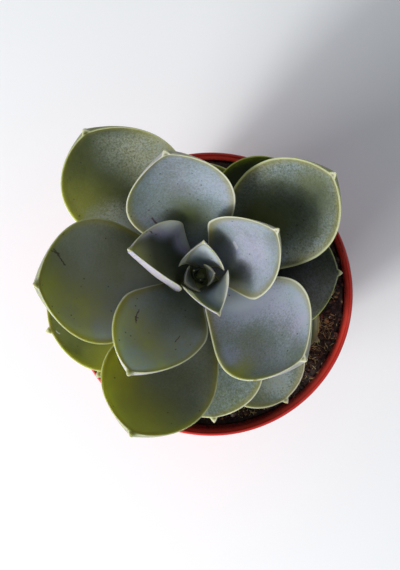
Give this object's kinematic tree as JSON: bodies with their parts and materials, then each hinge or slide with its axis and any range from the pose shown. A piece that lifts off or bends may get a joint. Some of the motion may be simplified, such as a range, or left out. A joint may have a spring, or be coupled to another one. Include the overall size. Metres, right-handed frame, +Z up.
{
  "type": "potted echeveria",
  "caption": "Rosette succulent with thick, cupped, pointed blue-green leaves on a short stem, growing in soil in a tapered round plastic nursery pot.",
  "frame": {"origin": "middle of the pot's flat underside, where the pot rests", "axes": "+Z up along the pot's axis; +X and +Y level, with the soil lowest towards -Y and the widest bare soil towards +X and -Y"},
  "size_m": [0.1109, 0.1078, 0.1479],
  "materials": {
    "pot": "satin",
    "soil": "matte",
    "stem": "matte",
    "leaf": "satin"
  },
  "bodies": {
    "root": {"pot": "pot", "soil": "soil", "stem": "stem", "leaf_01": "leaf", "leaf_02": "leaf", "leaf_03": "leaf", "leaf_04": "leaf", "leaf_05": "leaf", "leaf_06": "leaf", "leaf_07": "leaf", "leaf_08": "leaf", "leaf_09": "leaf", "leaf_10": "leaf", "leaf_11": "leaf", "leaf_12": "leaf", "leaf_13": "leaf", "leaf_14": "leaf", "leaf_15": "leaf", "leaf_16": "leaf", "leaf_17": "leaf", "leaf_18": "leaf", "leaf_19": "leaf", "leaf_20": "leaf", "leaf_21": "leaf", "leaf_22": "leaf", "leaf_23": "leaf", "leaf_24": "leaf"}
  },
  "joints": []
}
